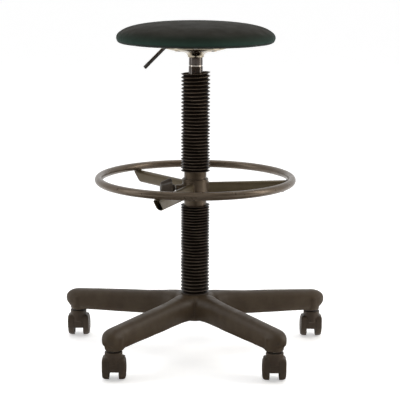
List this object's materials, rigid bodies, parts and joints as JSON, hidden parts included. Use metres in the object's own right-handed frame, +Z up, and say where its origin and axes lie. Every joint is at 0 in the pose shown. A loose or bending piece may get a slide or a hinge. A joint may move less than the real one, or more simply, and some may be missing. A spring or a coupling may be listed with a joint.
{
  "type": "adjustable swivel stool",
  "caption": "Round-seat swivel stool on a gas lift, with a clamped foot ring, ribbed gaiters and a star base on twin-wheel castors.",
  "frame": {"origin": "floor level, at the centre of the footprint's bounding box; the column's axis stands at x = 0, y = -0.0341 m", "axes": "+Z up, +X to the right and +Y to the back, along the rear base arm"},
  "size_m": [0.61, 0.5928, 0.745],
  "materials": {
    "nylon": "fine moulded grain, satin",
    "castor_nylon": "moulded, satin",
    "painted_steel": "satin powder coat",
    "dark_steel": "gloss black-brown coat",
    "bright_steel": "zinc plated",
    "plate_steel": "satin",
    "rubber": "matt, ribbed",
    "bush_plastic": "natural acetal",
    "black_plastic": "moulded, semi gloss",
    "leatherette": "fine-grained leatherette",
    "foam": "moulded foam",
    "plywood": "sanded"
  },
  "bodies": {
    "base": {"star_base": "nylon", "column_tube": "painted_steel", "column_end_plate": "bright_steel", "guide_bush": "bush_plastic", "thrust_washer_lower": "bright_steel", "thrust_ball_cage": "bright_steel", "upper_gaiter": "rubber", "lower_gaiter": "rubber"},
    "swivel_rod": {"piston_rod": "bright_steel", "rod_clip": "bright_steel", "thrust_washer_upper": "bright_steel"},
    "seat_unit": {"pressure_tube": "dark_steel", "rod_seal": "black_plastic", "seat_plate": "plate_steel", "seat_board": "plywood", "foam_pad": "foam", "seat_cover": "leatherette", "seat_screw_1": "bright_steel", "seat_screw_2": "bright_steel", "seat_screw_3": "bright_steel", "seat_screw_4": "bright_steel", "lever_bracket": "bright_steel", "lever_pin": "bright_steel"},
    "lever": {"height_lever": "black_plastic"},
    "valve": {"valve_pin": "bright_steel"},
    "ring_slider": {"ring_bush": "black_plastic"},
    "foot_ring_unit": {"ring_hub": "painted_steel", "ring_spoke_1": "painted_steel", "ring_spoke_2": "painted_steel", "ring_spoke_3": "painted_steel", "foot_ring": "painted_steel", "clamp_nut": "painted_steel"},
    "clamp_pad": {"clamp_pad": "bush_plastic"},
    "clamp_knob": {"clamp_screw": "bright_steel", "clamp_knob": "black_plastic"},
    "castor_1": {"castor_1_housing": "castor_nylon", "castor_1_stem": "bright_steel", "castor_1_axle": "bright_steel"},
    "castor_1_left": {"castor_1_wheel_left": "castor_nylon"},
    "castor_1_right": {"castor_1_wheel_right": "castor_nylon"},
    "castor_2": {"castor_2_housing": "castor_nylon", "castor_2_stem": "bright_steel", "castor_2_axle": "bright_steel"},
    "castor_2_left": {"castor_2_wheel_left": "castor_nylon"},
    "castor_2_right": {"castor_2_wheel_right": "castor_nylon"},
    "castor_3": {"castor_3_housing": "castor_nylon", "castor_3_stem": "bright_steel", "castor_3_axle": "bright_steel"},
    "castor_3_left": {"castor_3_wheel_left": "castor_nylon"},
    "castor_3_right": {"castor_3_wheel_right": "castor_nylon"},
    "castor_4": {"castor_4_housing": "castor_nylon", "castor_4_stem": "bright_steel", "castor_4_axle": "bright_steel"},
    "castor_4_left": {"castor_4_wheel_left": "castor_nylon"},
    "castor_4_right": {"castor_4_wheel_right": "castor_nylon"},
    "castor_5": {"castor_5_housing": "castor_nylon", "castor_5_stem": "bright_steel", "castor_5_axle": "bright_steel"},
    "castor_5_left": {"castor_5_wheel_left": "castor_nylon"},
    "castor_5_right": {"castor_5_wheel_right": "castor_nylon"}
  },
  "joints": [
    {"name": "seat_swivel", "type": "hinge", "parent": "base", "child": "swivel_rod", "pos_m": [0, -0.03406, 0.085], "axis": [0, 0, 1], "continuous": true},
    {"name": "seat_lift", "type": "slide", "parent": "swivel_rod", "child": "seat_unit", "axis": [0, 0, 1], "range_m": [-0.18, 0], "deforming": ["upper_gaiter"]},
    {"name": "lever_pivot", "type": "hinge", "parent": "seat_unit", "child": "lever", "pos_m": [-0.02984, -0.03719, 0.688], "axis": [-0.1045, 0.9945, 0], "range_deg": [0, 5], "stiffness_Nm_per_rad": 1.5, "springref_deg": -3.44},
    {"name": "valve_stroke", "type": "slide", "parent": "seat_unit", "child": "valve", "axis": [0, 0, -1], "range_m": [0, 0.00262]},
    {"name": "footring_height", "type": "slide", "parent": "base", "child": "ring_slider", "axis": [0, 0, 1], "range_m": [-0.05, 0.015], "deforming": ["lower_gaiter"]},
    {"name": "footring_turn", "type": "hinge", "parent": "ring_slider", "child": "foot_ring_unit", "pos_m": [0, -0.03406, 0.3725], "axis": [0, 0, 1], "continuous": true},
    {"name": "clamp_pad_travel", "type": "slide", "parent": "foot_ring_unit", "child": "clamp_pad", "axis": [-0.9877, -0.1564, 0], "range_m": [0, 0.00126]},
    {"name": "clamp_knob_turn", "type": "hinge", "parent": "clamp_pad", "child": "clamp_knob", "pos_m": [0, -0.03406, 0.3725], "axis": [-0.9877, -0.1564, 0], "range_deg": [0, 360]},
    {"name": "castor_1_swivel", "type": "hinge", "parent": "base", "child": "castor_1", "pos_m": [0, 0.25454, 0.066], "axis": [0, 0, 1], "continuous": true},
    {"name": "castor_1_left_roll", "type": "hinge", "parent": "castor_1", "child": "castor_1_left", "pos_m": [-0.0177, 0.26854, 0.025], "axis": [1, 0, 0], "continuous": true},
    {"name": "castor_1_right_roll", "type": "hinge", "parent": "castor_1", "child": "castor_1_right", "pos_m": [0.0177, 0.26854, 0.025], "axis": [1, 0, 0], "continuous": true},
    {"name": "castor_2_swivel", "type": "hinge", "parent": "base", "child": "castor_2", "pos_m": [-0.27448, 0.05512, 0.066], "axis": [0, 0, 1], "continuous": true},
    {"name": "castor_2_left_roll", "type": "hinge", "parent": "castor_2", "child": "castor_2_left", "pos_m": [-0.29218, 0.06912, 0.025], "axis": [1, 0, 0], "continuous": true},
    {"name": "castor_2_right_roll", "type": "hinge", "parent": "castor_2", "child": "castor_2_right", "pos_m": [-0.25677, 0.06912, 0.025], "axis": [1, 0, 0], "continuous": true},
    {"name": "castor_3_swivel", "type": "hinge", "parent": "base", "child": "castor_3", "pos_m": [-0.16964, -0.26754, 0.066], "axis": [0, 0, 1], "continuous": true},
    {"name": "castor_3_left_roll", "type": "hinge", "parent": "castor_3", "child": "castor_3_left", "pos_m": [-0.18734, -0.25354, 0.025], "axis": [1, 0, 0], "continuous": true},
    {"name": "castor_3_right_roll", "type": "hinge", "parent": "castor_3", "child": "castor_3_right", "pos_m": [-0.15193, -0.25354, 0.025], "axis": [1, 0, 0], "continuous": true},
    {"name": "castor_4_swivel", "type": "hinge", "parent": "base", "child": "castor_4", "pos_m": [0.16964, -0.26754, 0.066], "axis": [0, 0, 1], "continuous": true},
    {"name": "castor_4_left_roll", "type": "hinge", "parent": "castor_4", "child": "castor_4_left", "pos_m": [0.15193, -0.25354, 0.025], "axis": [1, 0, 0], "continuous": true},
    {"name": "castor_4_right_roll", "type": "hinge", "parent": "castor_4", "child": "castor_4_right", "pos_m": [0.18734, -0.25354, 0.025], "axis": [1, 0, 0], "continuous": true},
    {"name": "castor_5_swivel", "type": "hinge", "parent": "base", "child": "castor_5", "pos_m": [0.27448, 0.05512, 0.066], "axis": [0, 0, 1], "continuous": true},
    {"name": "castor_5_left_roll", "type": "hinge", "parent": "castor_5", "child": "castor_5_left", "pos_m": [0.25677, 0.06912, 0.025], "axis": [1, 0, 0], "continuous": true},
    {"name": "castor_5_right_roll", "type": "hinge", "parent": "castor_5", "child": "castor_5_right", "pos_m": [0.29218, 0.06912, 0.025], "axis": [1, 0, 0], "continuous": true}
  ],
  "couplings": [
    {"joint": "valve_stroke", "follows": "lever_pivot", "m_per_rad": 0.03},
    {"joint": "clamp_pad_travel", "follows": "clamp_knob_turn", "m_per_rad": 0.00019894}
  ]
}
